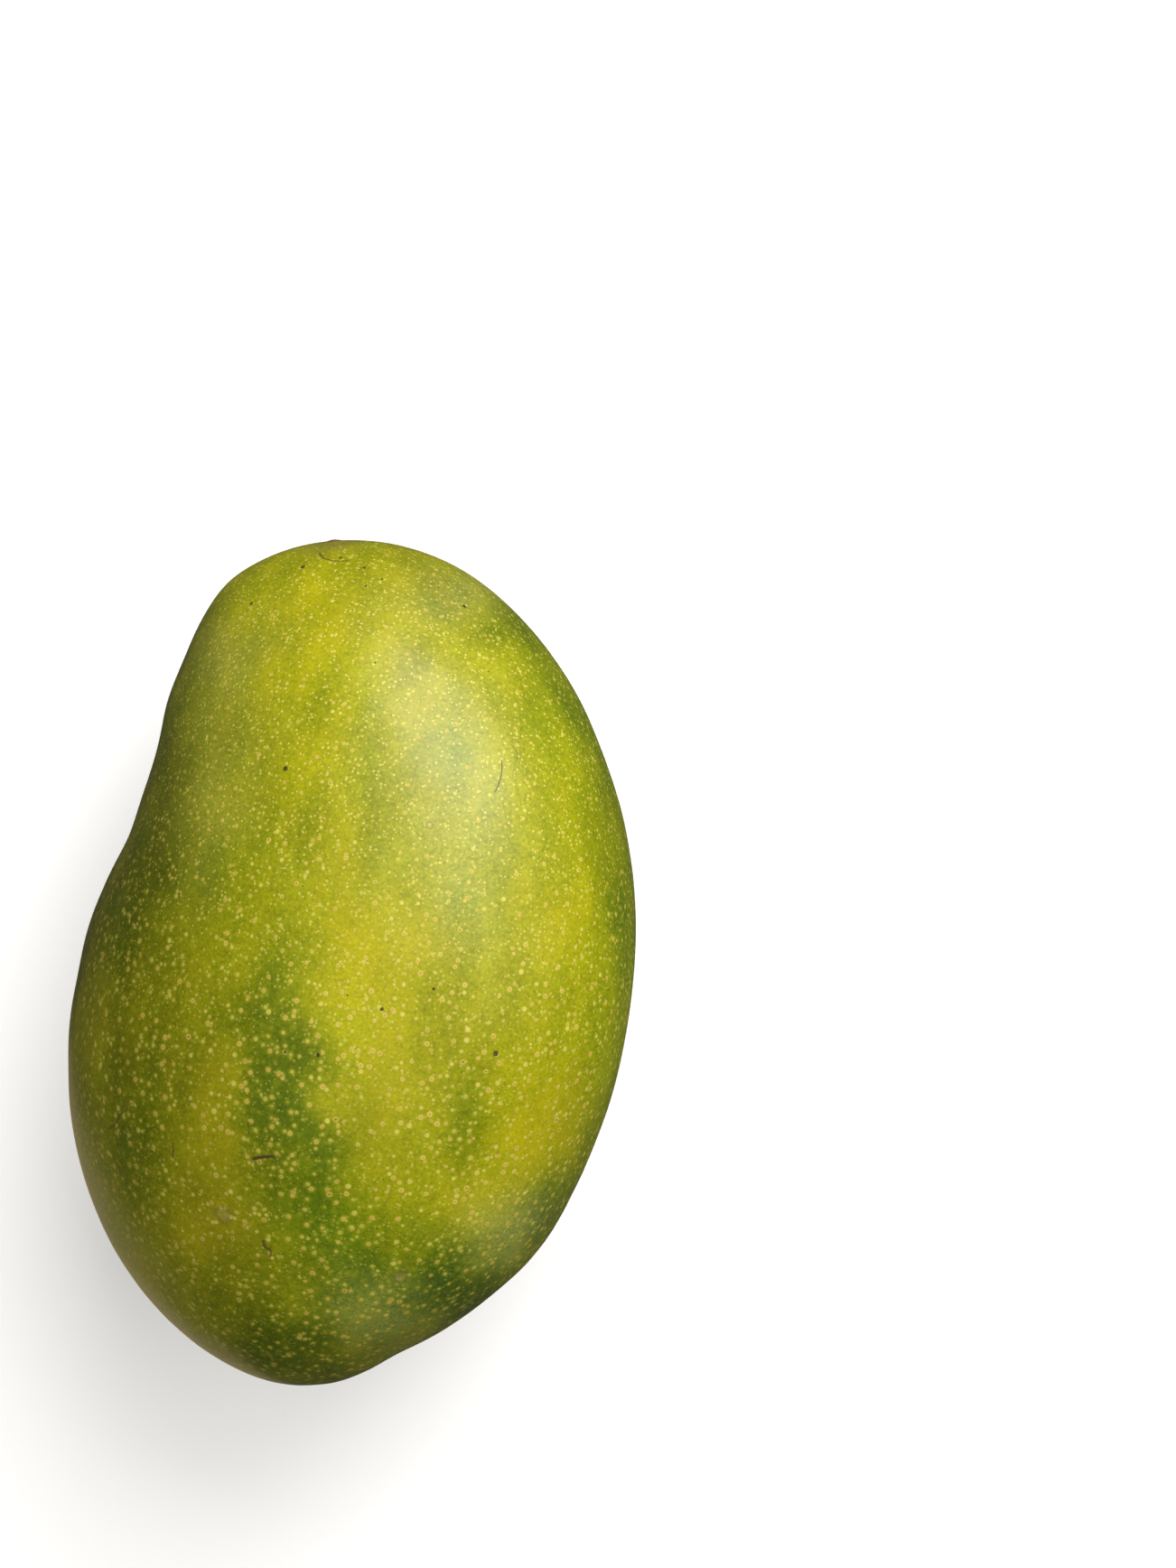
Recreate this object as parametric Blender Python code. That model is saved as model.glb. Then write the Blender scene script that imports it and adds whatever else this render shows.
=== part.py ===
"""A whole mango, picked and with its stalk gone, lying on one cheek.

Metres, +Z up. The origin is the middle of the fruit's footprint box, on the surface that it lies on.
The fruit lies along Y: its broad stem end is at -Y and its narrower beak end at +Y. Its full back
faces +X, and the belly edge at -X has the hollow that a mango has below its beak.
"""
import bmesh
import bpy
import numpy as np

# Driving sizes
LENGTH = 0.1333  # stem end to beak end
WIDTH = 0.0878  # belly edge to back
THICKNESS = 0.0780  # cheek to cheek, before the lower cheek is pressed flat

# The lower cheek is pressed flat where it carries the fruit
REST_FLAT_DEPTH = 0.0005

# The dimple that the stalk left, measured from the stem pole
STEM_DIMPLE_DEPTH = 0.0011
STEM_DIMPLE_RADIUS = 0.0042
STEM_DIMPLE_DROP = 0.0035
STEM_DIMPLE_SIDESTEP = 0.0005

# The form is read at nine even turns from the stem pole to the beak pole.
# The midline's sway towards the back, and its climb above the middle of the fruit
MIDLINE_SWAY = (-0.0016, -0.0025, -0.0014, -0.0003, 0.0013, 0.0023, -0.0014, -0.0044, -0.0047)
MIDLINE_CLIMB = (0.0012, 0.0010, 0.0008, 0.0004, 0.0000, -0.0004, -0.0008, -0.0010, -0.0012)
# How full the fruit is against a plain ellipsoid, belly to back and cheek to cheek
WIDTH_FULLNESS = (0.875, 0.920, 1.025, 1.030, 0.990, 0.945, 1.000, 1.080, 1.140)
CHEEK_FULLNESS = (1.060, 1.040, 1.020, 1.010, 1.005, 0.990, 0.965, 0.950, 1.000)

# The cross-section: squarer than an ellipse, thicker at the back, and leaning towards it
SECTION_SQUARENESS = 0.03
BACK_THICKENING = 0.05
CREST_LEAN = 0.080

# Faces around the fruit and along it
SEGMENTS_AROUND = 60
RINGS_ALONG = 60

SKIN_COLOUR = (0.27, 0.31, 0.02, 1.0)
SKIN_ROUGHNESS = 0.38
SKIN_METALLIC = 0.0
SHARP_ANGLE = np.radians(30)


def clear_scene():
    """Remove whatever objects the file opened with."""
    for old in list(bpy.data.objects):
        bpy.data.objects.remove(old, do_unlink=True)


def new_collection(name):
    """A collection of this name, linked to the scene."""
    collection = bpy.data.collections.new(name)
    bpy.context.scene.collection.children.link(collection)
    return collection


def skin_material(name):
    """The waxy green-yellow skin."""
    material = bpy.data.materials.new(name)
    material.use_nodes = True
    shader = material.node_tree.nodes["Principled BSDF"]
    shader.inputs["Base Color"].default_value = SKIN_COLOUR
    shader.inputs["Roughness"].default_value = SKIN_ROUGHNESS
    shader.inputs["Metallic"].default_value = SKIN_METALLIC
    return material


def along_fruit(stations, turn):
    """Read a form value at any turn from the stem pole (0) to the beak pole (pi).

    The values at the even stations fix a cosine series, cos(0), cos(turn), cos(2 turn) and so on.
    Each of its terms is level at both poles, so the fruit closes there without a point.
    """
    orders = np.arange(len(stations))
    station_turns = np.linspace(0.0, np.pi, len(stations))
    weights = np.linalg.solve(np.cos(np.outer(station_turns, orders)), stations)
    return np.cos(np.outer(turn, orders)) @ weights


def stretched(values, size):
    """Scale a coordinate, about its own middle, so that it spans this size and is centred on 0."""
    lowest, highest = values.min(), values.max()
    return (values - (lowest + highest) / 2) * size / (highest - lowest)


def dimple(x, z):
    """Depth of the stem dimple at points seen along the fruit: a round bell below the stem pole."""
    centre_x = MIDLINE_SWAY[0] + STEM_DIMPLE_SIDESTEP
    centre_z = MIDLINE_CLIMB[0] - STEM_DIMPLE_DROP
    squared_reach = (x - centre_x) ** 2 + (z - centre_z) ** 2
    return STEM_DIMPLE_DEPTH * np.exp(-squared_reach / STEM_DIMPLE_RADIUS**2)


def mango_form(unit):
    """Turn points of the unit sphere into points of the fruit.

    unit holds rows of (towards back, towards beak, up). Each row keeps its place along the fruit, and
    its two other shares are scaled by the half width and half thickness there and laid off from the
    midline.
    """
    back, beak, up = unit.T
    turn = np.arccos(np.clip(-beak, -1.0, 1.0))
    squareness = 1.0 + SECTION_SQUARENESS * (2.0 * back * up) ** 2

    half_width = WIDTH / 2 * along_fruit(WIDTH_FULLNESS, turn)
    half_thickness = THICKNESS / 2 * along_fruit(CHEEK_FULLNESS, turn)
    thickening = 1.0 + BACK_THICKENING * back

    z = along_fruit(MIDLINE_CLIMB, turn) + half_thickness * up * squareness * thickening
    x = along_fruit(MIDLINE_SWAY, turn) + half_width * back * squareness + CREST_LEAN * z
    y = LENGTH / 2 * beak
    y = np.where(beak < 0.0, y + dimple(x, z), y)

    return np.column_stack([stretched(x, WIDTH), stretched(y, LENGTH), stretched(z, THICKNESS)])


def press_flat(body):
    """Cut off what lies below the resting surface, close the cut and stand the cut on z = 0."""
    surface = min(vertex.co.z for vertex in body.verts) + REST_FLAT_DEPTH
    everything = body.verts[:] + body.edges[:] + body.faces[:]
    cut = bmesh.ops.bisect_plane(
        body,
        geom=everything,
        dist=1e-7,
        plane_co=(0.0, 0.0, surface),
        plane_no=(0.0, 0.0, -1.0),
        clear_outer=True,
    )
    rim = [edge for edge in cut["geom_cut"] if isinstance(edge, bmesh.types.BMEdge)]
    bmesh.ops.contextual_create(body, geom=rim)
    for vertex in body.verts:
        vertex.co.z -= surface
    for edge in rim:
        for vertex in edge.verts:
            vertex.co.z = 0.0


def make_mango(name, collection):
    """The fruit: a sphere with its poles at the stem and the beak, shaped and pressed flat."""
    body = bmesh.new()
    bmesh.ops.create_uvsphere(body, u_segments=SEGMENTS_AROUND, v_segments=RINGS_ALONG, radius=1.0)
    sphere = np.array([vertex.co[:] for vertex in body.verts])
    # a quarter turn about X lays the sphere's poles along Y
    unit = np.column_stack([sphere[:, 0], sphere[:, 2], -sphere[:, 1]])
    for vertex, place in zip(body.verts, mango_form(unit)):
        vertex.co = place
    press_flat(body)
    bmesh.ops.recalc_face_normals(body, faces=body.faces[:])

    mesh = bpy.data.meshes.new(name)
    body.to_mesh(mesh)
    body.free()
    mesh.shade_smooth()
    mesh.set_sharp_from_angle(angle=SHARP_ANGLE)
    mesh.materials.append(skin_material("mango_skin"))
    fruit = bpy.data.objects.new(name, mesh)
    collection.objects.link(fruit)
    return fruit


clear_scene()
make_mango("mango", new_collection("mango"))
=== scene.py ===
"""A whole mango lying on one cheek: its fine skin surface, its skin finish, and a plain pale studio.

Metres, +Z up, in the CAD model's frame: the stem end is at -Y, the beak end at +Y, the full back
faces +X and the belly edge -X. The upper cheek faces +Z.
"""

import bpy
import numpy as np
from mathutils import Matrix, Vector
from mathutils.bvhtree import BVHTree


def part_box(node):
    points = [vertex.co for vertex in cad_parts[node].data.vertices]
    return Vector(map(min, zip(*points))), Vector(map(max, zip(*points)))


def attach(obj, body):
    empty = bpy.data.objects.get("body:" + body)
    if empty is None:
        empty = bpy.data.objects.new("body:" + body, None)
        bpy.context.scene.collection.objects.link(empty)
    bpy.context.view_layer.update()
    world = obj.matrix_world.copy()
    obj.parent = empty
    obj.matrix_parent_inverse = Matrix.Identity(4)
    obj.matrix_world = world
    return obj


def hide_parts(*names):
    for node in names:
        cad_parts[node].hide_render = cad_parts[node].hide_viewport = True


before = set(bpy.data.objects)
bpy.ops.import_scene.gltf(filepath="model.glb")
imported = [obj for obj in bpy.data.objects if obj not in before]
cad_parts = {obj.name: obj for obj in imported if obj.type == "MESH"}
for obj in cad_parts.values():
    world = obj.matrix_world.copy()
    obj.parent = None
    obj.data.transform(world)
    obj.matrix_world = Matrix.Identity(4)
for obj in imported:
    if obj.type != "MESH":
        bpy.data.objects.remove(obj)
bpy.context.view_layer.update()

MM = 0.001

# ---------------------------------------------------------------- the fruit's own sizes
fruit_low, fruit_high = (np.array(corner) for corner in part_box("mango"))
fruit_size = fruit_high - fruit_low
fruit_middle = (fruit_low + fruit_high) / 2
REST_FLAT_DEPTH = 0.5 * MM  # how far the lower cheek is pressed flat
REST_EDGE_SOFTNESS = 0.06 * MM

# The form is read at nine even turns from the stem pole to the beak pole. The sway and the width
# fullness were found by a least squares fit in a separate program, which also rounded them. The
# climb and the cheek fullness were chosen.
# The midline's sway towards the back, and its climb above the middle of the fruit
MIDLINE_SWAY = (-0.0016, -0.0025, -0.0014, -0.0003, 0.0013, 0.0023, -0.0014, -0.0044, -0.0047)
MIDLINE_CLIMB = (0.0012, 0.0010, 0.0008, 0.0004, 0.0000, -0.0004, -0.0008, -0.0010, -0.0012)
# How full the fruit is against a plain ellipsoid, belly to back and cheek to cheek
WIDTH_FULLNESS = (0.875, 0.920, 1.025, 1.030, 0.990, 0.945, 1.000, 1.080, 1.140)
CHEEK_FULLNESS = (1.060, 1.040, 1.020, 1.010, 1.005, 0.990, 0.965, 0.950, 1.000)
# The cross-section: squarer than an ellipse, thicker at the back, and leaning towards it
SECTION_SQUARENESS = 0.03
BACK_THICKENING = 0.05
CREST_LEAN = 0.080

# The stem scar: a shallow dimple, with the corky ring and the pit that the stalk left in it
DIMPLE_DEPTH = 1.1 * MM
DIMPLE_RADIUS = 4.2 * MM
DIMPLE_DROP = 3.5 * MM
DIMPLE_SIDESTEP = 0.5 * MM
SCAR_RADIUS = 3.3 * MM
SCAR_RING_HEIGHT = 0.35 * MM
SCAR_RING_WIDTH = 0.55 * MM
STALK_PIT_DEPTH = 0.9 * MM
STALK_PIT_RADIUS = 1.25 * MM

# The beak scar: a small dry tip where the flower's style fell off
BEAK_SCAR_ACROSS = -12.0 * MM
BEAK_SCAR_UP = 42.5 * MM
BEAK_TIP_HEIGHT = 0.35 * MM
BEAK_TIP_RADIUS = 1.3 * MM

# Soft corners and hollows round the fruit's edge: across, along, reach, height
EDGE_RIPPLES = (
    (-28 * MM, 57 * MM, 5 * MM, 0.35 * MM),
    (-35 * MM, 37 * MM, 6 * MM, 0.70 * MM),
    (-38 * MM, 16 * MM, 4.5 * MM, -0.50 * MM),
    (-43 * MM, 1 * MM, 7 * MM, 0.50 * MM),
    (-43 * MM, -22 * MM, 5 * MM, -0.20 * MM),
    (7 * MM, -67 * MM, 3 * MM, 0.35 * MM),
    (16 * MM, -60 * MM, 5 * MM, -0.60 * MM),
    (40 * MM, -28 * MM, 11 * MM, -0.60 * MM),
    (34 * MM, 38 * MM, 7 * MM, -0.25 * MM),
)
EDGE_RIPPLE_DEPTH = 16 * MM  # how far they reach up and down from the middle

# Gentle unevenness of the flesh under the skin: wavelength, height, how many waves are summed
UNEVENNESS = (
    (34 * MM, 0.20 * MM, 24),
    (13 * MM, 0.050 * MM, 40),
    (5 * MM, 0.012 * MM, 60),
)
UNEVENNESS_SEED = 7
UNEVENNESS_FADE = 0.5  # the power by which it fades towards the fruit's edge
WAVELENGTH_SPREAD = (0.7, 1.4)  # how the waves of one sum vary about their wavelength

# The grid: rows from pole to pole, columns round the fruit
ROWS = 276
COLUMNS = 324
ROW_GATHER = 0.30  # how far the rows gather towards the two ends


# ---------------------------------------------------------------- form
def along_fruit(stations, turn):
    """A smooth run through values at even turns, 0 at the stem pole and pi at the beak pole.

    It is a cosine series, so it arrives level at both poles and the fruit closes round there.
    """
    orders = np.arange(len(stations))
    station_turns = np.linspace(0.0, np.pi, len(stations))
    weights = np.linalg.solve(np.cos(np.outer(station_turns, orders)), stations)
    return np.cos(turn[..., None] * orders) @ weights


def stretched(values, low, high):
    """Values scaled and moved evenly until they just fill the span from low to high."""
    lowest, highest = values.min(), values.max()
    return low + (values - lowest) * (high - low) / (highest - lowest)


def fruit_grid():
    """Places on the plain fruit, as (rows, columns, 3), with each row's share of the way.

    A direction (back, beak, up) on the unit sphere becomes a place: beak stretches to the length,
    and back and up stretch to the half width and half thickness at that turn, each with its
    fullness. The section is swollen on its diagonals, thickened towards the back and sheared.
    """
    share = np.arange(1, ROWS + 1) / (ROWS + 1)
    turn = np.pi * share - ROW_GATHER * np.sin(2 * np.pi * share) / 2
    around = 2 * np.pi * np.arange(COLUMNS) / COLUMNS - np.pi / 2
    turn_grid = np.repeat(turn[:, None], COLUMNS, axis=1)
    back = np.sin(turn)[:, None] * np.cos(around)
    up = np.sin(turn)[:, None] * np.sin(around)
    width, length, thickness = fruit_size + (0.0, 0.0, REST_FLAT_DEPTH)
    squareness = 1.0 + SECTION_SQUARENESS * (2.0 * back * up) ** 2
    half_width = width / 2 * along_fruit(WIDTH_FULLNESS, turn_grid)
    half_thickness = thickness / 2 * along_fruit(CHEEK_FULLNESS, turn_grid)
    z = along_fruit(MIDLINE_CLIMB, turn_grid)
    z = z + half_thickness * up * squareness * (1.0 + BACK_THICKENING * back)
    x = along_fruit(MIDLINE_SWAY, turn_grid) + half_width * back * squareness + CREST_LEAN * z
    y = -length / 2 * np.cos(turn_grid)
    y = y + np.where(y < 0.0, stem_scar_depth(x, z), 0.0)
    x = stretched(x, -width / 2, width / 2)
    z = stretched(z, -REST_FLAT_DEPTH, thickness - REST_FLAT_DEPTH)
    return np.stack([x, y, z], axis=-1), share


def stem_scar_depth(x, z):
    """How far the stem scar goes in, by the distance from its middle.

    A bell-shaped dimple, less a bell-shaped ring at the scar's edge, plus a flat-bottomed pit.
    """
    from_middle_x = x - (MIDLINE_SWAY[0] + DIMPLE_SIDESTEP)
    from_middle_z = z - (MIDLINE_CLIMB[0] - DIMPLE_DROP)
    reach = np.hypot(from_middle_x, from_middle_z)
    dimple = DIMPLE_DEPTH * np.exp(-((reach / DIMPLE_RADIUS) ** 2))
    ring = SCAR_RING_HEIGHT * np.exp(-(((reach - SCAR_RADIUS) / SCAR_RING_WIDTH) ** 2))
    pit = STALK_PIT_DEPTH * np.exp(-((reach / STALK_PIT_RADIUS) ** 4))
    return dimple - ring + pit


def waves(places, wavelength, count, seed):
    """A smooth random field: plane sine waves of about one wavelength in seeded directions."""
    random = np.random.default_rng(seed)
    directions = random.normal(size=(count, 3))
    directions /= np.linalg.norm(directions, axis=1)[:, None]
    lengths = wavelength * random.uniform(*WAVELENGTH_SPREAD, count)
    phases = random.uniform(0.0, 2 * np.pi, count)
    turns = places @ (2 * np.pi * directions / lengths[:, None]).T + phases
    return np.sin(turns).sum(axis=-1) / np.sqrt(count / 2)


def bell(distance, reach):
    """1 at no distance, falling smoothly to nothing a few reaches away."""
    return np.exp(-((distance / reach) ** 2))


def relief(places, directions):
    """How far the skin stands out from the plain fruit: unevenness, edge ripples and beak tip.

    The unevenness grows from nothing at the fruit's edge to its full height on the cheeks.
    """
    height = np.zeros(places.shape[:-1])
    for order, (wavelength, amount, count) in enumerate(UNEVENNESS):
        height += amount * waves(places, wavelength, count, UNEVENNESS_SEED + order)
    height *= np.abs(directions[..., 2]) ** UNEVENNESS_FADE
    x, y, z = np.moveaxis(places, -1, 0)
    near_edge = bell(z - fruit_middle[2], EDGE_RIPPLE_DEPTH)
    for across, along, reach, amount in EDGE_RIPPLES:
        height += amount * near_edge * bell(np.hypot(x - across, y - along), reach)
    from_tip = np.hypot(x - BEAK_SCAR_ACROSS, z - BEAK_SCAR_UP)
    height += np.where(y > 0.0, BEAK_TIP_HEIGHT * bell(from_tip, BEAK_TIP_RADIUS), 0.0)
    return height


def outward(places):
    """Unit directions out of the skin, taken from the ellipsoid of the same size."""
    directions = (places - fruit_middle) / (fruit_size / 2) ** 2
    return directions / np.linalg.norm(directions, axis=-1)[..., None]


def skin_places():
    """The finished skin: the fruit with its relief, fitted to the CAD box and pressed flat below.

    Pressing replaces z by a smooth maximum of z and 0, so the flat runs softly into the cheek.
    """
    places, share = fruit_grid()
    directions = outward(places)
    places = places + relief(places, directions)[..., None] * directions
    fitted_low = fruit_low - (0.0, 0.0, REST_FLAT_DEPTH)
    for axis in range(3):
        places[..., axis] = stretched(places[..., axis], fitted_low[axis], fruit_high[axis])
    pressed = np.logaddexp(0.0, places[..., 2] / REST_EDGE_SOFTNESS) * REST_EDGE_SOFTNESS
    places[..., 2] = np.minimum(pressed, fruit_high[2])
    return places, share


def closed_mesh(name, places, share):
    """A mesh of the grid, closed round the fruit and with a fan at each pole.

    Its map runs round the fruit across and along the fruit upwards, with the seam underneath.
    """
    rows, columns = places.shape[:2]
    poles = places[[0, -1]].mean(axis=1)
    vertices = np.concatenate([places.reshape(-1, 3), poles])
    stem_pole, beak_pole = rows * columns, rows * columns + 1
    this_column = np.arange(columns)
    next_column = (this_column + 1) % columns
    row_starts = columns * np.arange(rows - 1)[:, None]
    quads = np.stack(
        [
            row_starts + this_column,
            row_starts + next_column,
            row_starts + columns + next_column,
            row_starts + columns + this_column,
        ],
        axis=-1,
    ).reshape(-1, 4)
    last_row = columns * (rows - 1)
    stem_fan = np.stack([next_column, this_column, np.full(columns, stem_pole)], axis=-1)
    beak_fan = np.stack(
        [last_row + this_column, last_row + next_column, np.full(columns, beak_pole)], axis=-1
    )
    mesh = bpy.data.meshes.new(name)
    mesh.from_pydata(vertices, [], quads.tolist() + stem_fan.tolist() + beak_fan.tolist())

    left, right = this_column / columns, (this_column + 1) / columns
    low, high = (np.repeat(side[:, None], columns, axis=1) for side in (share[:-1], share[1:]))
    left_grid, right_grid = np.broadcast_to(left, low.shape), np.broadcast_to(right, low.shape)
    quad_map = np.stack(
        [left_grid, low, right_grid, low, right_grid, high, left_grid, high], axis=-1
    )
    middle = (left + right) / 2
    first, last = np.full(columns, share[0]), np.full(columns, share[-1])
    stem_map = np.stack([right, first, left, first, middle, 0.0 * first], axis=-1)
    beak_map = np.stack([left, last, right, last, middle, 0.0 * last + 1.0], axis=-1)
    corners = np.concatenate([part.ravel() for part in (quad_map, stem_map, beak_map)])
    mesh.uv_layers.new(name="OFBake").uv.foreach_set("vector", corners.astype(np.float32))
    mesh.shade_smooth()
    mesh.update()
    return mesh


# ---------------------------------------------------------------- where the skin is riper or greener, and its painted shade, light and sheen
# On the upper cheek, seen from above: across, along, half width, half length, lean in degrees
# (towards the belly as it goes beakwards), and how much riper (yellow, above 0) or greener it is
UPPER_PATCHES = (
    # the green streak that runs up from the stem end
    (-8, 0, 4.5, 6, 0, -0.20),
    (-7, -11, 6, 8, 10, -0.34),
    (-2, -21, 6, 9, 15, -0.40),
    (3, -34, 7, 9, 15, -0.36),
    (8, -43, 6, 7, 20, -0.28),
    (0, -55, 10, 7, 0, -0.38),
    # the green shoulder beside the stem
    (22, -44, 9, 7, -40, -0.62),
    (34, -33, 8, 8, -40, -0.34),
    # the green rim along the back: partly the skin's own green, partly painted shade and a painted
    # green reflection at the edge
    (42, -14, 4, 20, 0, -0.22),
    (42, 14, 5, 16, 15, -0.32),
    (32, 43, 6, 14, 35, -0.36),
    (20, 58, 6, 6, 60, -0.30),
    # fainter green
    (-32, 38, 4, 14, 0, -0.20),
    (-31, 8, 5, 12, 0, -0.28),
    (-27, -28, 5, 12, -5, -0.24),
    (22, -18, 6, 9, 0, -0.15),
    (-18, 15, 6, 8, 0, -0.10),
    (18, 14, 4, 6, 0, -0.08),
    # yellow
    (6, 6, 8, 8, 0, 0.24),
    (9, -14, 6, 9, 0, 0.20),
    (31, -20, 6, 10, -8, 0.27),
    (24, -30, 6, 4, -30, 0.20),
    (33, 12, 5, 6, 0, 0.18),
    (-14, -22, 4, 12, 5, 0.26),
    (-14, -40, 6, 5, 0, 0.13),
    (-5, 51, 11, 9, 0, 0.12),
    (-34, -50, 12, 10, 0, 0.20),
)
# A row of waves gives their wavelength, how many are summed and their seed. A squeeze multiplies the
# places first, so that the waves run longer along the fruit.
PATCH_RAGGEDNESS = 0.9  # millimetres
PATCH_WAVES_ACROSS = (12 * MM, 30, 51)
PATCH_WAVES_ALONG = (12 * MM, 30, 52)
RIPENESS_MIDDLE = 0.62
RIPENESS_STREAKS = 0.035  # lengthwise streakiness all over
STREAK_WAVES = (7 * MM, 40, 21)
STREAK_SQUEEZE = (1.0, 0.3, 1.0)
LOWER_RIPENESS = 0.56  # the cheek that it lies on
LOWER_MOTTLING = 0.11
LOWER_WAVES = (26 * MM, 24, 22)
MOTTLING_SQUEEZE = (1.0, 0.5, 1.0)
# The two cheeks' colours meet a little below the fruit's widest line
CHEEK_TURNOVER = 12 * MM
CHEEK_TURNOVER_DROP = 0.6  # in turnovers


def upper_cheek_share(places):
    """1 on the upper cheek and 0 on the lower one, turning over smoothly at the fruit's edge."""
    rise = (places[..., 2] - fruit_middle[2]) / CHEEK_TURNOVER
    return 0.5 + 0.5 * np.tanh(rise + CHEEK_TURNOVER_DROP)


def patches(places, rows):
    """The sum of leaning, bell-shaped patches over the places seen from above, with ragged edges.

    The edges are ragged because each place is first shifted a little by smooth random waves.
    """
    total = np.zeros(places.shape[:-1])
    ragged_x = places[..., 0] / MM + PATCH_RAGGEDNESS * waves(places, *PATCH_WAVES_ACROSS)
    ragged_y = places[..., 1] / MM + PATCH_RAGGEDNESS * waves(places, *PATCH_WAVES_ALONG)
    for across, along, half_width, half_length, lean, amount in rows:
        turn = np.radians(lean)
        x = ragged_x - across
        y = ragged_y - along
        sideways = x * np.cos(turn) + y * np.sin(turn)
        lengthwise = -x * np.sin(turn) + y * np.cos(turn)
        total += amount * np.exp(-((sideways / half_width) ** 2) - (lengthwise / half_length) ** 2)
    return total


def ripeness(places):
    """0 where the skin is deep green, 1 where it is fully yellow."""
    streaks = RIPENESS_STREAKS * waves(places * STREAK_SQUEEZE, *STREAK_WAVES)
    upper = RIPENESS_MIDDLE + patches(places, UPPER_PATCHES)
    lower = LOWER_RIPENESS + LOWER_MOTTLING * waves(places * MOTTLING_SQUEEZE, *LOWER_WAVES)
    cheek = upper_cheek_share(places)
    return upper * cheek + lower * (1 - cheek) + streaks


# Painted shade, above 0, darkens the colour beyond what its ripeness makes it, and painted light,
# below 0, pales it: the same columns as the ripeness patches
PAINTED_SHADING_PATCHES = (
    (-26, -12, 11, 26, 0, 0.26),
    (-30, 22, 8, 16, 0, 0.14),
    (-18, -20, 8, 14, 0, 0.24),
    (-30, 0, 7, 26, 0, 0.20),
    (-12, -38, 9, 12, 0, 0.28),
    (-4, -51, 9, 9, 0, 0.24),
    (-10, -12, 6, 8, 0, 0.08),
    (10, -15, 8, 10, 0, 0.14),
    (6, 61, 14, 7, 0, 0.24),
    (2, -60, 12, 6, 0, 0.20),
    (-41, 4, 5, 14, 0, 0.46),
    (0, 38, 10, 12, 0, -0.10),
    (22, 22, 8, 8, 0, -0.10),
    (11, 19, 7, 8, 0, -0.18),
    (44, -3, 5, 22, 0, -0.36),
    (4, -35, 8, 9, 15, -0.30),
    (4, -8, 6, 7, 0, -0.14),
    (18, 36, 7, 9, 0, -0.12),
    (20, 10, 6, 8, 0, -0.10),
    (19, -19, 6, 7, 0, -0.10),
    (10, -45, 6, 8, -30, -0.14),
    (-31, 12, 5, 10, 0, 0.24),
    (31, -40, 6, 6, -40, -0.14),
    (30, 40, 6, 8, 30, -0.12),
)
TONE_MOTTLING = 0.03
TONE_WAVES = (9 * MM, 40, 41)


def depth(places):
    """Painted shade above 0 and painted light below 0 on the colour, with a little random mottling of
    tone.
    """
    mottling = TONE_MOTTLING * waves(places * MOTTLING_SQUEEZE, *TONE_WAVES)
    return upper_cheek_share(places) * patches(places, PAINTED_SHADING_PATCHES) + mottling


# A thin pale bloom of wax, partly painted sheen, with a painted reflection at the lower left edge:
# the same columns as the ripeness patches
BLOOM_AND_SHEEN_PATCHES = (
    (30, -34, 6, 7, -40, 0.55),
    (14, -50, 8, 6, -30, 0.50),
    (9, 60, 10, 6, 40, 0.42),
    (-22, 24, 7, 12, 0, 0.22),
    (12, 30, 10, 14, 0, 0.30),
    (16, 13, 6, 8, 0, 0.35),
    (-25, 44, 8, 8, 0, 0.30),
    # a painted reflection of the pale floor along the lower left edge
    (-30, -47, 6, 14, 35, 0.40),
)


def bloom(places):
    """How much pale wax bloom and painted sheen lie on the skin."""
    return upper_cheek_share(places) * patches(places, BLOOM_AND_SHEEN_PATCHES)


# ---------------------------------------------------------------- shader writing
class Wire:
    """A shader socket. An expression on wires and numbers adds the Math nodes that it needs."""

    def __init__(self, shader, socket):
        self.shader = shader
        self.socket = socket

    def math(self, operation, *values):
        return self.shader.node("ShaderNodeMath", dict(operation=operation), dict(enumerate(values)))

    def __add__(self, other):
        return self.math("ADD", self, other)

    def __sub__(self, other):
        return self.math("SUBTRACT", self, other)

    def __rsub__(self, other):
        return self.math("SUBTRACT", other, self)

    def __mul__(self, other):
        return self.math("MULTIPLY", self, other)

    def __truediv__(self, other):
        return self.math("DIVIDE", self, other)

    def __abs__(self):
        return self.math("ABSOLUTE", self)

    __radd__ = __add__
    __rmul__ = __mul__

    def larger(self, other):
        return self.math("MAXIMUM", self, other)

    def above(self, other):
        return self.math("GREATER_THAN", self, other)

    def ramp(self, start, end):
        """0 at start and 1 at end, with a smooth step between. Start may be the larger one."""
        return self.shader.node(
            "ShaderNodeMapRange",
            dict(interpolation_type="SMOOTHSTEP"),
            {"Value": self, "From Min": start, "From Max": end},
        )

    def outlet(self, name):
        """Another output of the same node."""
        return Wire(self.shader, self.socket.node.outputs[name])


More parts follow.
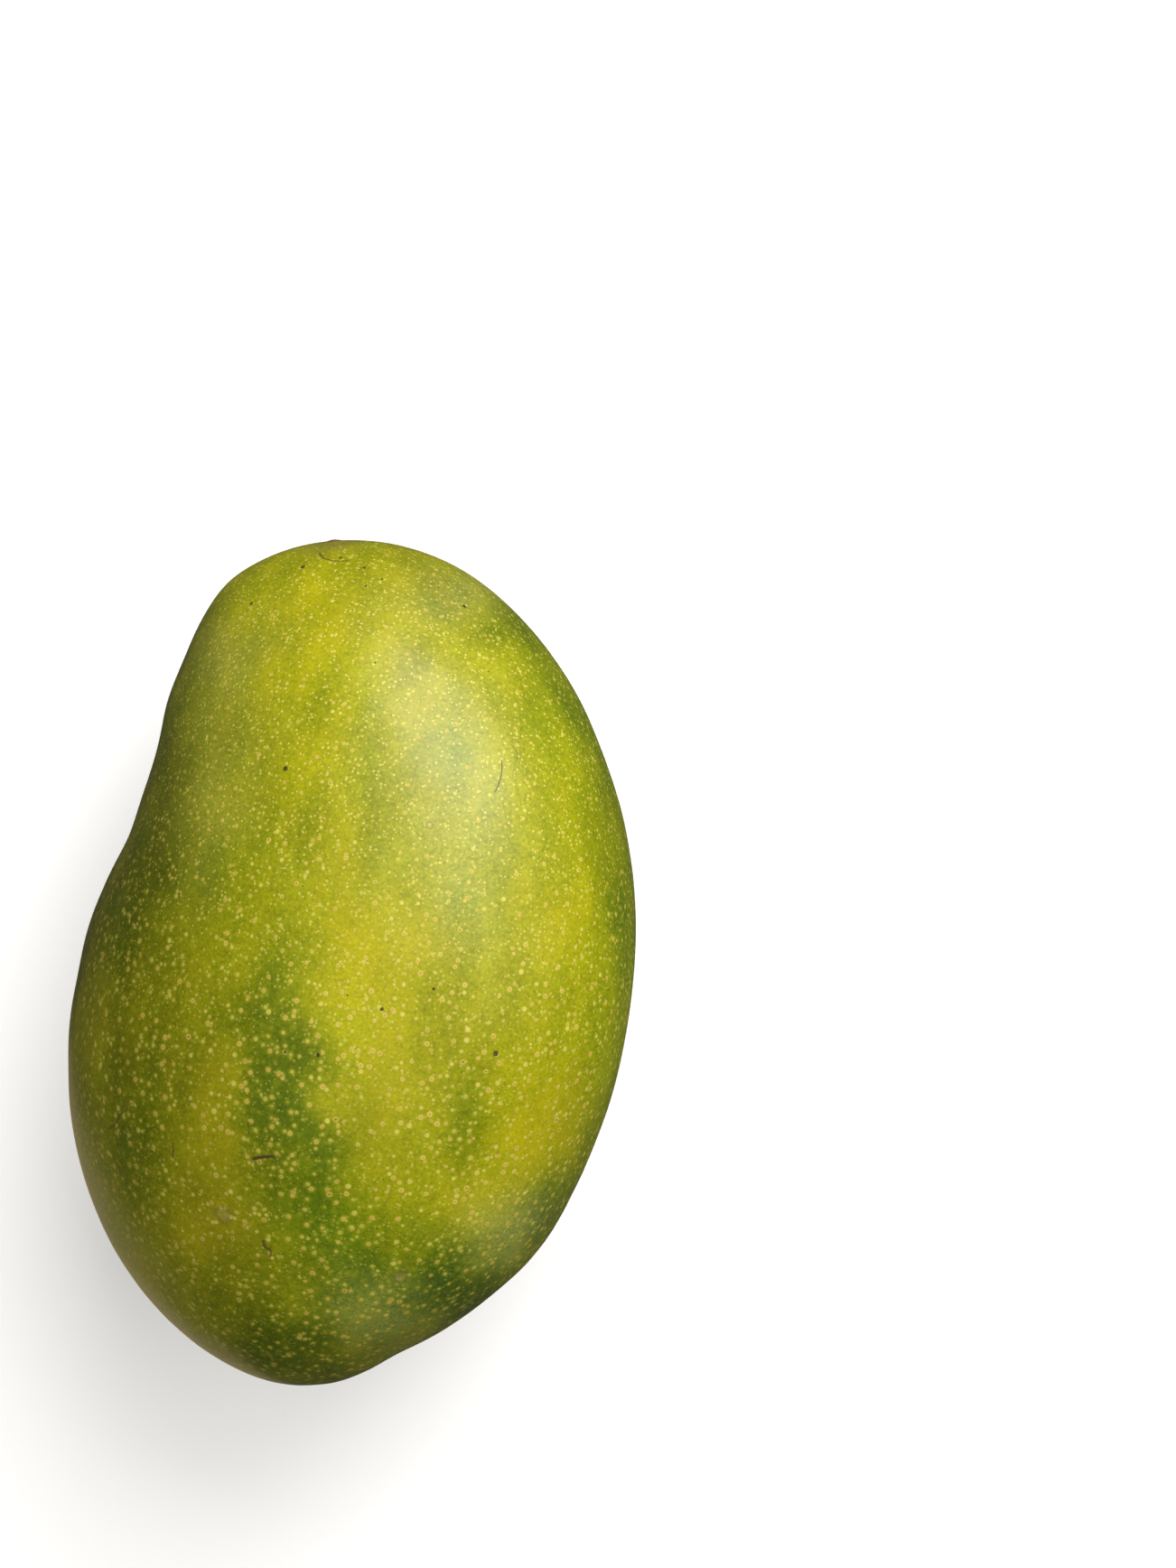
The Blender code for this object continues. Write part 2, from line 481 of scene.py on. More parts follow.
class Shader:
    """One procedural material."""

    def __init__(self, name):
        self.material = bpy.data.materials.new(name)
        self.material.use_nodes = True
        self.tree = self.material.node_tree
        self.tree.nodes.clear()
        self.surface = self.tree.nodes.new("ShaderNodeBsdfPrincipled")
        output = self.tree.nodes.new("ShaderNodeOutputMaterial")
        self.tree.links.new(self.surface.outputs["BSDF"], output.inputs["Surface"])

    def feed(self, socket, value):
        if isinstance(value, Wire):
            self.tree.links.new(value.socket, socket)
        else:
            socket.default_value = value

    def node(self, kind, settings, inputs, outlet=0):
        """Add a node: its settings are set first, then its sockets take numbers or wires."""
        made = self.tree.nodes.new(kind)
        for name, value in settings.items():
            if name == "stops":
                self.set_stops(made.color_ramp, value)
            else:
                setattr(made, name, value)
        for name, value in inputs.items():
            self.feed(made.inputs[name], value)
        return Wire(self, made.outputs[outlet])

    def set_stops(self, color_ramp, stops):
        while len(color_ramp.elements) < len(stops):
            color_ramp.elements.new(1.0)
        for element, (place, color) in zip(color_ramp.elements, stops):
            element.position = place
            element.color = color

    def finish_with(self, **inputs):
        """Feed the surface's own sockets; an underscore stands for a space in a socket's name."""
        for name, value in inputs.items():
            self.feed(self.surface.inputs[name.replace("_", " ")], value)
        return self.material

    def attribute(self, name):
        return self.node("ShaderNodeAttribute", dict(attribute_name=name), {}, "Fac")

    def moved(self, place, shift):
        """The same pattern space, moved."""
        return self.node("ShaderNodeVectorMath", dict(operation="ADD"), {0: place, 1: shift})

    def scaled(self, place, scale):
        return self.node("ShaderNodeVectorMath", dict(operation="MULTIPLY"), {0: place, 1: scale})

    def dimmed(self, color, factor):
        """The colour times a plain number."""
        return self.node("ShaderNodeVectorMath", dict(operation="SCALE"), {0: color, "Scale": factor})

    def distance(self, place, point):
        return self.node(
            "ShaderNodeVectorMath", dict(operation="DISTANCE"), {0: place, 1: point}, "Value"
        )

    def parts(self, vector):
        """The three numbers of a vector or a colour."""
        first = self.node("ShaderNodeSeparateXYZ", {}, {0: vector})
        return first, first.outlet("Y"), first.outlet("Z")

    def noise(self, place, size, detail=2.0):
        """Soft noise from 0 to 1 with blobs of about this size."""
        inputs = {"Vector": place, "Scale": 1.0 / size, "Detail": detail}
        return self.node("ShaderNodeTexNoise", {}, inputs, 0)

    def blended(self, under, over, share):
        """Colour over laid on colour under by its share."""
        inputs = {0: share, 6: under, 7: over}
        settings = dict(data_type="RGBA", clamp_factor=True)
        return self.node("ShaderNodeMix", settings, inputs, 2)

    def cells(self, place, spacing):
        """Scattered points about this far apart: the distance to the nearest, and its own colour."""
        inputs = {"Vector": place, "Scale": 1.0 / spacing}
        nearest = self.node("ShaderNodeTexVoronoi", {}, inputs, "Distance")
        return nearest * spacing, nearest.outlet("Color")


# ---------------------------------------------------------------- skin finish
# Ripening colours, from deep green at 0 to golden yellow at 1
RIPENESS_COLORS = (
    (0.00, (0.060, 0.110, 0.002, 1.0)),
    (0.28, (0.130, 0.175, 0.002, 1.0)),
    (0.50, (0.235, 0.260, 0.002, 1.0)),
    (0.70, (0.370, 0.355, 0.004, 1.0)),
    (1.00, (0.520, 0.440, 0.005, 1.0)),
)
# Mottling of the colour: blob size, detail, how far it shifts the ripeness
BROAD_MOTTLING = (4 * MM, 5.0, 0.20)
FINE_MOTTLING = (1.6 * MM, 3.0, 0.20)
COLOR_GRAIN = (0.45 * MM, 3.0, 0.30)
BROAD_MOTTLING_SQUEEZE = (1.0, 0.35, 1.0)  # makes its blobs run lengthwise
FINE_MOTTLING_BRIGHTNESS = 0.14
COLOR_GRAIN_BRIGHTNESS = 0.60
# The painted shade and painted light are split into a part under the pores and a part over them
PAINTED_SHADING_UNDER_PORES = 0.62
PAINTED_SHADING_OVER_PORES = 0.45
# The wax bloom's pale colour, also laid on as painted sheen and a painted reflection
BLOOM_AND_SHEEN_COLOR = (0.44, 0.48, 0.20, 1.0)
BLOOM_AND_SHEEN_COVER = 0.45
BLOOM_AND_SHEEN_GRAININESS = 2.0

# Pores are small and close at the beak end, larger and wider apart towards the stem. An edge says
# where a mark starts and where it is full, in its own radii.
PORES_SMALLEST_ALONG = 38 * MM
PORES_LARGEST_ALONG = -18 * MM
PORE_COLOR = (0.72, 0.61, 0.12, 1.0)
GREEN_SKIN_RIPENESS = 0.15
RIPE_SKIN_RIPENESS = 0.75
PORE_COVER_ON_GREEN = 0.68  # as a share of what it is on ripe skin
PORE_COVER_GAINED = 0.32  # from green skin to ripe skin
SMALL_PORE_SHIFT = (0.013, 0.007, 0.003)  # keeps their pattern apart from the large pores'
SMALL_PORE_SPACING = 0.72 * MM
SMALL_PORE_RADIUS = 0.13 * MM
SMALL_PORE_RADIUS_SPREAD = 0.10 * MM
SMALL_PORE_EDGE = (1.15, 0.65)
SMALL_PORES_LEFT_OUT = 0.10
SMALL_PORE_COVER = 0.82
SMALL_PORE_COVER_LOST = 0.40  # towards the stem
LARGE_PORE_SPACING = 1.28 * MM
LARGE_PORE_RADIUS = 0.14 * MM
LARGE_PORE_RADIUS_SPREAD = 0.20 * MM
LARGE_PORE_GROWTH = 0.12 * MM  # towards the stem
LARGE_PORE_EDGE = (1.15, 0.70)
LARGE_PORES_LEFT_OUT = 0.12
LARGE_PORE_COVER = 0.50
LARGE_PORE_COVER_SPREAD = 0.42
HALO_COLOR = (0.36, 0.38, 0.008, 1.0)
HALO_EDGE = (2.3, 0.9)
HALO_COVER = 0.34
TAN_CENTRE_COLOR = (0.60, 0.30, 0.05, 1.0)
TAN_CENTRE_EDGE = (0.85, 0.35)
TAN_CENTRE_COVER = 0.82
WITHOUT_TAN_CENTRE = 0.25
DARK_CENTRE_COLOR = (0.10, 0.075, 0.02, 1.0)
DARK_CENTRE_EDGE = (0.42, 0.20)
DARK_CENTRE_COVER = 0.80
WITHOUT_DARK_CENTRE = 0.90

# Tiny dirt-dark flecks scattered all over
FLECK_SHIFT = (0.005, 0.011, 0.017)
FLECK_SPACING = 4.5 * MM
FLECK_RADIUS = 0.17 * MM
FLECK_EDGE = (1.0, 0.5)
FLECKS_LEFT_OUT = 0.5
# Larger dark specks on the upper cheek: across, along, radius, all in millimetres. Most places of
# specks, scratches and scuffs were worked out by a separate program, from marks picked by eye.
SPECK_COLOR = (0.030, 0.022, 0.010, 1.0)
SPECK_EDGE = (1.1, 0.7)
SPECK_RAGGEDNESS = 0.9
SPECK_COVER = 0.85
SPECKS = (
    (-15.1, 60.1, 0.45),
    (-21.9, 53.3, 0.35),
    (10.5, 57.1, 0.42),
    (-4.5, 58.0, 0.28),
    (-9.6, 62.3, 0.30),
    (-11.0, 29.2, 0.42),
    (0.0, -10.1, 0.33),
    (8.1, -2.5, 0.30),
    (24.7, -7.0, 0.44),
    (-4.7, -10.4, 0.25),
    (14.9, 1.2, 0.25),
    (-5.5, 61.0, 0.25),
    (-2.4, 59.5, 0.20),
)

# Fine curved scratches and cracks: from (across, along), to (across, along), bow to the left,
# half width, all in millimetres, and how dark
SCRATCH_COLOR = (0.085, 0.055, 0.018, 1.0)
SCRATCH_EDGE = (1.0, 0.4)  # in half widths
SCRATCH_END = (1.1, 0.8)  # in half lengths
SCRATCH_WOBBLE = 0.25 * MM
SCRATCHES = (
    (19.8, 34.6, 19.5, 29.6, 0.4, 0.14, 0.80),
    (20.7, 37.0, 22.1, 34.7, 0.3, 0.11, 0.60),
    (-20.1, -26.5, -19.9, -28.9, 0.3, 0.18, 0.70),
    (-7.8, -26.5, -4.4, -25.5, 0.15, 0.33, 0.98),
    (-5.0, -38.4, -4.1, -40.0, -0.4, 0.26, 0.80),
    (-4.3, -39.6, -4.0, -41.2, 0.3, 0.22, 0.75),
    (13.2, 29.4, 14.6, 29.0, 0.4, 0.14, 0.55),
    (-13.1, 63.8, -8.6, 61.8, -1.2, 0.19, 0.85),
    (14.2, -3.6, 14.9, 1.0, 0.5, 0.10, 0.40),
    (-28.5, -22.0, -31.5, -27.5, 0.8, 0.22, 0.55),
)

# Healed grey-tan scuffs, each with a darker ring: across, along, radius, all in millimetres
SCUFF_COLOR = (0.42, 0.33, 0.12, 1.0)
SCUFF_EDGE = (1.15, 0.75)
SCUFF_COVER = 0.24
SCUFF_RING_OUTSIDE = (1.2, 1.0)
SCUFF_RING_INSIDE = (0.55, 0.85)
SCUFF_RING_COVER = 0.35
SCUFF_RAGGEDNESS = 1.1
SCUFFS = (
    (-11.4, -35.7, 1.3),
    (15.1, -41.8, 1.1),
    (11.1, 23.9, 0.55),
    (8.5, 13.5, 0.30),
)
WOBBLE_SIZE = 0.7 * MM  # of the noise that makes specks, scratches and scuffs ragged

# The stem scar's zones, by the distance from its middle: where each starts and where it is full
SCAR_GRAIN_SIZE = 0.8 * MM
SCAR_GRAIN_DETAIL = 4.0
SCAR_STAIN_COLOR = (0.070, 0.075, 0.018, 1.0)
SCAR_STAIN_EDGE = (9 * MM, 3.4 * MM)
SCAR_STAIN_RAGGEDNESS = 3 * MM
SCAR_STAIN_COVER = 0.45
CORK_COLOR = (0.26, 0.17, 0.075, 1.0)
CORK_EDGE = (3.9 * MM, 3.4 * MM)
CORK_RAGGEDNESS = 0.8 * MM
CORK_CRACK_COLOR = DARK_CENTRE_COLOR
CORK_CRACK_GRAIN = (0.50, 0.72)
STALK_PIT_COLOR = (0.035, 0.022, 0.012, 1.0)
STALK_PIT_EDGE = (1.5 * MM, 0.9 * MM)
STALK_PIT_COVER = 0.9

# The beak's zones, by the distance from its tip
BEAK_STAIN_COLOR = (0.20, 0.16, 0.035, 1.0)
BEAK_STAIN_EDGE = (8 * MM, 2 * MM)
BEAK_STAIN_RAGGEDNESS = 3 * MM
BEAK_STAIN_COVER = 0.55
BEAK_TIP_COLOR = (0.16, 0.060, 0.020, 1.0)
BEAK_TIP_EDGE = (1.7 * MM, 0.8 * MM)
BEAK_TIP_RAGGEDNESS = 1.2 * MM
BEAK_TIP_COVER = 0.85

# Gloss: bare skin shines most, bloom dulls it a little, and cork, dry tip and pores dull it more
SKIN_ROUGHNESS = 0.35
BLOOM_DULLNESS = 0.12
DRY_DULLNESS = 0.35
PORE_DRYNESS = 0.35
SKIN_GRAIN_SIZE = 0.50 * MM
SKIN_GRAIN_DETAIL = 3.0
SKIN_GRAIN_DULLNESS = 0.12
WAX_IOR = 1.47
# How high the fine relief stands, in millimetres
SKIN_GRAIN_HEIGHT = 0.034
LARGE_PORE_HEIGHT = 0.014
SMALL_PORE_HEIGHT = 0.006
CORK_HEIGHT = 0.16
BEAK_TIP_GRAIN_HEIGHT = 0.10
FLECK_DEPTH = 0.03


def ripening(skin, place):
    """The bare skin's colour, its ripeness, and the bloom of wax and painted sheen on it.

    Ripeness is the stored field plus three sizes of noise, and it picks the colour from the ramp.
    """
    broad_size, broad_detail, broad_ripening = BROAD_MOTTLING
    broad = skin.noise(skin.scaled(place, BROAD_MOTTLING_SQUEEZE), broad_size, broad_detail) - 0.5
    fine_size, fine_detail, fine_ripening = FINE_MOTTLING
    fine = skin.noise(place, fine_size, fine_detail) - 0.5
    grain_size, grain_detail, grain_ripening = COLOR_GRAIN
    grain = skin.noise(place, grain_size, grain_detail) - 0.5

    ripe = skin.attribute("ripeness")
    ripe = ripe + broad * broad_ripening + fine * fine_ripening + grain * grain_ripening
    color = skin.node("ShaderNodeValToRGB", dict(stops=RIPENESS_COLORS), {0: ripe})
    brightness = 1 + grain * COLOR_GRAIN_BRIGHTNESS + fine * FINE_MOTTLING_BRIGHTNESS
    color = skin.dimmed(color, brightness)
    # painted shade and painted light from the stored field: the part under the pores
    color = skin.dimmed(color, 1 - skin.attribute("depth") * PAINTED_SHADING_UNDER_PORES)
    # pale wax bloom, partly painted sheen and painted reflection
    wax_and_sheen = skin.attribute("bloom") * (1 + grain * BLOOM_AND_SHEEN_GRAININESS)
    color = skin.blended(color, BLOOM_AND_SHEEN_COLOR, (wax_and_sheen * BLOOM_AND_SHEEN_COVER).larger(0.0))
    return color, ripe, wax_and_sheen


def with_pores(skin, place, color, ripe):
    """The colour with pale pores on it, and how far the small and the large ones cover each place.

    Every scattered point is a pore. Its own chance numbers say whether it is left out, how large it
    is and what its centre looks like.
    """
    stemward = skin.parts(place)[1].ramp(PORES_SMALLEST_ALONG, PORES_LARGEST_ALONG)

    reach, chance = skin.cells(skin.moved(place, SMALL_PORE_SHIFT), SMALL_PORE_SPACING)
    size_chance, keep_chance, _ = skin.parts(chance)
    radius = size_chance * SMALL_PORE_RADIUS_SPREAD + SMALL_PORE_RADIUS
    small_pores = (reach / radius).ramp(*SMALL_PORE_EDGE) * keep_chance.above(SMALL_PORES_LEFT_OUT)

    reach, chance = skin.cells(place, LARGE_PORE_SPACING)
    size_chance, keep_chance, centre_chance = skin.parts(chance)
    radius = size_chance * LARGE_PORE_RADIUS_SPREAD + LARGE_PORE_RADIUS + stemward * LARGE_PORE_GROWTH
    out = reach / radius
    kept = keep_chance.above(LARGE_PORES_LEFT_OUT)
    large_pores = out.ramp(*LARGE_PORE_EDGE) * kept
    halos = out.ramp(*HALO_EDGE) * kept
    tan_centres = out.ramp(*TAN_CENTRE_EDGE) * kept * centre_chance.above(WITHOUT_TAN_CENTRE)
    dark_centres = out.ramp(*DARK_CENTRE_EDGE) * kept * centre_chance.above(WITHOUT_DARK_CENTRE)

    on_ripe_skin = ripe.ramp(GREEN_SKIN_RIPENESS, RIPE_SKIN_RIPENESS)
    paleness = on_ripe_skin * PORE_COVER_GAINED + PORE_COVER_ON_GREEN
    small_cover = small_pores * paleness * (SMALL_PORE_COVER - stemward * SMALL_PORE_COVER_LOST)
    large_cover = large_pores * paleness * (keep_chance * LARGE_PORE_COVER_SPREAD + LARGE_PORE_COVER)
    color = skin.blended(color, HALO_COLOR, halos * HALO_COVER)
    color = skin.blended(color, PORE_COLOR, small_cover)
    color = skin.blended(color, PORE_COLOR, large_cover)
    color = skin.blended(color, TAN_CENTRE_COLOR, tan_centres * TAN_CENTRE_COVER)
    color = skin.blended(color, DARK_CENTRE_COLOR, dark_centres * DARK_CENTRE_COVER)
    return color, small_pores, large_pores


def with_specks(skin, place, color, wobble, speck_places):
    """The colour with flecks and specks on it, and how far they cover each place."""
    reach, chance = skin.cells(skin.moved(place, FLECK_SHIFT), FLECK_SPACING)
    flecks = (reach / FLECK_RADIUS).ramp(*FLECK_EDGE) * skin.parts(chance)[0].above(FLECKS_LEFT_OUT)
    for speck_place, radius in speck_places:
        ragged = skin.distance(place, speck_place) / radius + wobble * SPECK_RAGGEDNESS
        flecks = flecks.larger(ragged.ramp(*SPECK_EDGE))
    return skin.blended(color, SPECK_COLOR, flecks * SPECK_COVER), flecks


def with_scratches(skin, place, color, wobble, scratches):
    """The colour with scratches on it.

    A scratch is the stretch near its middle where the skin cuts a thin ball about its centre.
    """
    for centre, bend, middle, half_length, half_width, darkness in scratches:
        aside = skin.distance(place, centre) - bend + wobble * SCRATCH_WOBBLE
        line = (abs(aside) / half_width).ramp(*SCRATCH_EDGE)
        ending = (skin.distance(place, middle) / half_length).ramp(*SCRATCH_END)
        color = skin.blended(color, SCRATCH_COLOR, line * ending * darkness)
    return color


def with_scuffs(skin, place, color, wobble, scuff_places):
    """The colour with healed scuffs on it, each a ragged disc in a darker ring."""
    for scuff_place, radius in scuff_places:
        ragged = skin.distance(place, scuff_place) / radius + wobble * SCUFF_RAGGEDNESS
        ring = ragged.ramp(*SCUFF_RING_OUTSIDE) * ragged.ramp(*SCUFF_RING_INSIDE)
        color = skin.blended(color, SCUFF_COLOR, ragged.ramp(*SCUFF_EDGE) * SCUFF_COVER)
        color = skin.blended(color, SCRATCH_COLOR, ring * SCUFF_RING_COVER)
    return color


def with_stem_scar(skin, place, color, grain, scar_middle):
    """The colour with the stem scar on it, and how far cork covers each place.

    Outside in, it is stained skin, cork with fine cracks, and the dark pit.
    """
    from_scar = skin.distance(place, scar_middle)
    stain = (from_scar + (grain - 0.5) * SCAR_STAIN_RAGGEDNESS).ramp(*SCAR_STAIN_EDGE)
    cork = (from_scar + (grain - 0.5) * CORK_RAGGEDNESS).ramp(*CORK_EDGE)
    pit = from_scar.ramp(*STALK_PIT_EDGE)
    cork_color = skin.blended(CORK_COLOR, CORK_CRACK_COLOR, grain.ramp(*CORK_CRACK_GRAIN))
    color = skin.blended(color, SCAR_STAIN_COLOR, stain * SCAR_STAIN_COVER)
    color = skin.blended(color, cork_color, cork)
    color = skin.blended(color, STALK_PIT_COLOR, pit * STALK_PIT_COVER)
    return color, cork


def with_beak_tip(skin, place, color, grain, wobble, beak_tip):
    """The colour with an olive-brown zone round a small dry tip, and how far the tip covers."""
    from_tip = skin.distance(place, beak_tip)
    zone = (from_tip + (grain - 0.5) * BEAK_STAIN_RAGGEDNESS).ramp(*BEAK_STAIN_EDGE)
    tip = (from_tip + wobble * BEAK_TIP_RAGGEDNESS).ramp(*BEAK_TIP_EDGE)
    color = skin.blended(color, BEAK_STAIN_COLOR, zone * BEAK_STAIN_COVER)
    color = skin.blended(color, BEAK_TIP_COLOR, tip * BEAK_TIP_COVER)
    return color, tip


def skin_material(scar_middle, beak_tip, speck_places, scratches, scuff_places):
    """Waxy skin: ripening colour, pores, marks, the corky stem scar and the dry beak tip."""
    skin = Shader("waxy_mango_skin")
    place = skin.node("ShaderNodeTexCoord", {}, {}, "Object")
    wobble = skin.noise(place, WOBBLE_SIZE) - 0.5
    scar_grain = skin.noise(place, SCAR_GRAIN_SIZE, SCAR_GRAIN_DETAIL)

    color, ripe, wax_and_sheen = ripening(skin, place)
    color, small_pores, large_pores = with_pores(skin, place, color, ripe)
    # the rest of the painted shade and painted light, laid over the pores
    color = skin.dimmed(color, 1 - skin.attribute("depth") * PAINTED_SHADING_OVER_PORES)
    color, flecks = with_specks(skin, place, color, wobble, speck_places)
    color = with_scratches(skin, place, color, wobble, scratches)
    color = with_scuffs(skin, place, color, wobble, scuff_places)
    color, cork = with_stem_scar(skin, place, color, scar_grain, scar_middle)
    color, tip = with_beak_tip(skin, place, color, scar_grain, wobble, beak_tip)

    dry = cork.larger(tip).larger(large_pores * PORE_DRYNESS)
    skin_grain = skin.noise(place, SKIN_GRAIN_SIZE, SKIN_GRAIN_DETAIL)
    roughness = SKIN_ROUGHNESS + wax_and_sheen * BLOOM_DULLNESS + (skin_grain - 0.5) * SKIN_GRAIN_DULLNESS
    roughness = roughness + dry * DRY_DULLNESS
    height = skin_grain * SKIN_GRAIN_HEIGHT + large_pores * LARGE_PORE_HEIGHT
    height = height + small_pores * SMALL_PORE_HEIGHT + cork * scar_grain * CORK_HEIGHT
    height = height + tip * scar_grain * BEAK_TIP_GRAIN_HEIGHT - flecks * FLECK_DEPTH
    bump = skin.node("ShaderNodeBump", {}, {"Distance": MM, "Height": height, "Strength": 1.0})
    return skin.finish_with(Base_Color=color, Roughness=roughness, Normal=bump, IOR=WAX_IOR)


# ---------------------------------------------------------------- studio
VIEW_ROLL = np.radians(7.5)  # the fruit's long axis leans this far from upright in the view
VIEW_RISE = 330 * MM  # from the plane of the widest outline to the camera
WIDEST_OUTLINE_UP = 38.5 * MM
VIEW_TALL = 250 * MM  # what the view takes in, measured in that plane
VIEW_MIDDLE_RIGHT = 36.7 * MM  # the view's middle, from the fruit's middle
VIEW_MIDDLE_ABOVE = 28.15 * MM
SENSOR = 36.0
NEAREST_SEEN = 10 * MM

# Softboxes: azimuth in the view, from its right towards its top; elevation; distance; width; power;
# whether the skin mirrors it. One that isn't mirrored is spread so far that it leaves no gloss.
SOFTBOXES = {
    "window_softbox": (np.radians(66), np.radians(38), 1.6, 1.1, 22.0, True),
    "side_softbox": (np.radians(30), np.radians(40), 1.6, 2.0, 16.5, False),
    "top_softbox": (0.0, np.radians(90), 2.2, 3.2, 26.0, False),
}
# A warm card lying on the floor that lights the fruit's lower left edge from below
CARD_AZIMUTH = np.radians(230)
CARD_DISTANCE = 84 * MM
CARD_HEIGHT = 1 * MM
CARD_WIDTH = 90 * MM
CARD_POWER = 0.0135
CARD_COLOR = (1.0, 0.76, 0.46)
SURROUND_COLOR = (1.0, 0.99, 0.97, 1.0)
SURROUND_STRENGTH = 0.06
FLOOR_COLOR = (0.90, 0.89, 0.875, 1.0)
FLOOR_ROUGHNESS = 0.85
FLOOR_TOOTH_SIZE = 2 * MM
FLOOR_TOOTH_HEIGHT = 0.02  # millimetres
FLOOR_GLOW = 0.32  # the floor is lit a little from below, which thins the shadow
FLOOR_WIDTH = 14.0


def view_directions():
    """The view's right and upward directions on the floor."""
    right = np.array([np.cos(VIEW_ROLL), np.sin(VIEW_ROLL), 0.0])
    above = np.array([-np.sin(VIEW_ROLL), np.cos(VIEW_ROLL), 0.0])
    return right, above


def add_camera():
    """A camera straight above, looking down, with the fruit low on the left of its view."""
    right, above = view_directions()
    middle = fruit_middle * (1.0, 1.0, 0.0) + VIEW_MIDDLE_RIGHT * right + VIEW_MIDDLE_ABOVE * above
    data = bpy.data.cameras.new("overhead_camera")
    data.sensor_width = SENSOR
    data.lens = SENSOR * VIEW_RISE / VIEW_TALL
    data.clip_start = NEAREST_SEEN
    camera = bpy.data.objects.new("overhead_camera", data)
    camera.location = middle + (0.0, 0.0, WIDEST_OUTLINE_UP + VIEW_RISE)
    camera.rotation_euler = (0.0, 0.0, VIEW_ROLL)
    bpy.context.scene.collection.objects.link(camera)
    bpy.context.scene.camera = camera


def level_direction(azimuth):
    """The level direction at this azimuth in the view."""
    right, above = view_directions()
    return np.cos(azimuth) * right + np.sin(azimuth) * above


def square_light(name, width, power):
    """A square area light, unseen by the camera itself."""
    data = bpy.data.lights.new(name, "AREA")
    data.shape = "SQUARE"
    data.size = width
    data.energy = power
    light = bpy.data.objects.new(name, data)
    light.visible_camera = False
    bpy.context.scene.collection.objects.link(light)
    return light


def add_softbox(name, azimuth, elevation, distance, width, power, mirrored):
    """A square light this far from the fruit, facing it."""
    direction = np.cos(elevation) * level_direction(azimuth)
    direction = direction + np.sin(elevation) * np.array([0.0, 0.0, 1.0])
    light = square_light(name, width, power)
    light.location = fruit_middle + distance * direction
    light.rotation_euler = Vector(direction).to_track_quat("Z", "Y").to_euler()
    light.visible_glossy = mirrored


def add_bounce_card():
    """The warm card, facing up."""
    card = square_light("bounce_card", CARD_WIDTH, CARD_POWER)
    card.data.color = CARD_COLOR
    middle = fruit_middle + CARD_DISTANCE * level_direction(CARD_AZIMUTH)
    card.location = (middle[0], middle[1], CARD_HEIGHT)
    card.rotation_euler = (np.pi, 0.0, CARD_AZIMUTH)


def add_lights():
    """The softboxes, the bounce card and a faint pale surround."""
    for name, placing in SOFTBOXES.items():
        add_softbox(name, *placing)
    add_bounce_card()
    world = bpy.data.worlds.new("pale_surround")
    world.use_nodes = True
    background = world.node_tree.nodes["Background"]
    background.inputs["Color"].default_value = SURROUND_COLOR
    background.inputs["Strength"].default_value = SURROUND_STRENGTH
    bpy.context.scene.world = world


def add_floor():
    """A plain pale floor, which neither reflects nor bounces light onto the fruit."""
    bpy.ops.mesh.primitive_plane_add(size=FLOOR_WIDTH)
    floor = bpy.context.object
    floor.name = "studio_floor"
    floor.visible_glossy = False
    floor.visible_diffuse = False
    paper = Shader("pale_paper")
    place = paper.node("ShaderNodeTexCoord", {}, {}, "Object")
    height = paper.noise(place, FLOOR_TOOTH_SIZE) * FLOOR_TOOTH_HEIGHT
    tooth = paper.node("ShaderNodeBump", {}, {"Distance": MM, "Height": height})
    floor.data.materials.append(
        paper.finish_with(
            Base_Color=FLOOR_COLOR,
            Roughness=FLOOR_ROUGHNESS,
            Normal=tooth,
            Emission_Color=FLOOR_COLOR,
            Emission_Strength=FLOOR_GLOW,
        )
    )


# ---------------------------------------------------------------- the mango
WELL_OUTSIDE = 1.0  # metres: where the lines that look for the skin start


def point_on_skin(surface, start, direction):
    """Where a straight line from start first meets the skin."""
    return tuple(surface.ray_cast(Vector(start), Vector(direction))[0])


def on_cheek(surface, across, along):
    """The point of the upper cheek above this place, given in millimetres."""
    return point_on_skin(surface, (across * MM, along * MM, WELL_OUTSIDE), (0.0, 0.0, -1.0))


